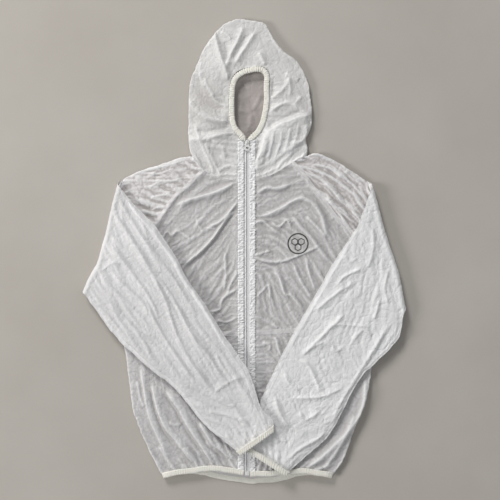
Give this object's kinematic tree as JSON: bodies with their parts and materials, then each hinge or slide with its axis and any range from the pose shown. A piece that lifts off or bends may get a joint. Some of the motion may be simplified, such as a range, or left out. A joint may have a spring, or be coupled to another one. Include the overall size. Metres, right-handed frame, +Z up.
{
  "type": "hooded zip jacket",
  "caption": "Thin white hooded full-zip jacket lying flat, raglan sleeves folded over the front, elastic-bound face opening, cuffs and hem, drop-in inner pockets.",
  "frame": {"origin": "middle of the base, on the surface the jacket lies on", "axes": "+X towards the wearer's left, +Y towards the top of the hood, +Z up from the surface, out of the front"},
  "size_m": [0.6841, 1.005, 0.0377],
  "materials": {
    "shell_cloth": "thin crinkled semi-sheer white nylon",
    "pocket_cloth": "the same thin nylon, seen through the front",
    "elastic_binding": "ivory folded elastic tape, matt, gathered",
    "zip_tape": "white woven polyester tape",
    "zip_coil": "white nylon coil on the inner side",
    "zip_enamel": "white enamelled cast slider and pull",
    "zip_plastic": "white moulded ends of the zip",
    "print_ink": null
  },
  "bodies": {
    "torso": {"back_panel": "shell_cloth", "front_panel_right": "shell_cloth", "front_panel_left": "shell_cloth", "raglan_back_right": "shell_cloth", "raglan_back_left": "shell_cloth", "raglan_front_right": "shell_cloth", "raglan_front_left": "shell_cloth", "side_seam_right": "shell_cloth", "side_seam_left": "shell_cloth", "shoulder_seam_right": "shell_cloth", "shoulder_seam_left": "shell_cloth", "underarm_seam_right": "shell_cloth", "underarm_seam_left": "shell_cloth", "inner_pocket_right": "pocket_cloth", "inner_pocket_left": "pocket_cloth", "hem_binding_back": "elastic_binding", "hem_binding_front_right": "elastic_binding", "hem_binding_front_left": "elastic_binding", "zip_tape_right": "zip_tape", "zip_tape_left": "zip_tape", "zip_coil_right": "zip_coil", "zip_coil_left": "zip_coil", "zip_top_stop_right": "zip_plastic", "zip_top_stop_left": "zip_plastic", "zip_insertion_pin": "zip_plastic", "zip_retainer_box": "zip_plastic", "chest_badge": "print_ink", "hood_base_back": "shell_cloth", "hood_base_front_right": "shell_cloth", "hood_base_front_left": "shell_cloth", "hood_base_edge_right": "shell_cloth", "hood_base_edge_left": "shell_cloth"},
    "hood": {"hood_side_right": "shell_cloth", "hood_side_left": "shell_cloth", "hood_centre_panel": "shell_cloth", "hood_back_panel": "shell_cloth", "hood_edge_right": "shell_cloth", "hood_edge_left": "shell_cloth", "hood_face_binding": "elastic_binding"},
    "right_sleeve": {"right_sleeve_front": "shell_cloth", "right_sleeve_back": "shell_cloth", "right_sleeve_top_edge": "shell_cloth", "right_sleeve_underarm_seam": "shell_cloth", "right_cuff_binding": "elastic_binding"},
    "left_sleeve": {"left_sleeve_front": "shell_cloth", "left_sleeve_back": "shell_cloth", "left_sleeve_top_edge": "shell_cloth", "left_sleeve_underarm_seam": "shell_cloth", "left_cuff_binding": "elastic_binding"},
    "zip_slider": {"zip_slider": "zip_enamel"},
    "zip_pull": {"zip_pull_tab": "zip_enamel"}
  },
  "joints": [
    {"name": "zip_slide", "type": "slide", "parent": "torso", "child": "zip_slider", "axis": [0, -1, 0], "range_m": [0, 0.697]},
    {"name": "pull_tab_swing", "type": "hinge", "parent": "zip_slider", "child": "zip_pull", "pos_m": [0.00338, 0.23275, 0.0149], "axis": [-1, 0, 0], "range_deg": [0, 170]},
    {"name": "right_sleeve_fold", "type": "hinge", "parent": "torso", "child": "right_sleeve", "pos_m": [-0.27612, 0.13915, 0.0158], "axis": [-0.2717, -0.9624, 0], "range_deg": [0, 178.7]},
    {"name": "left_sleeve_fold", "type": "hinge", "parent": "torso", "child": "left_sleeve", "pos_m": [0.27268, 0.14755, 0.0158], "axis": [-0.2617, 0.9651, 0], "range_deg": [0, 180]},
    {"name": "hood_fold", "type": "hinge", "parent": "torso", "child": "hood", "pos_m": [0.00338, 0.24265, 0.0158], "axis": [1, 0, 0], "range_deg": [0, 170]}
  ]
}
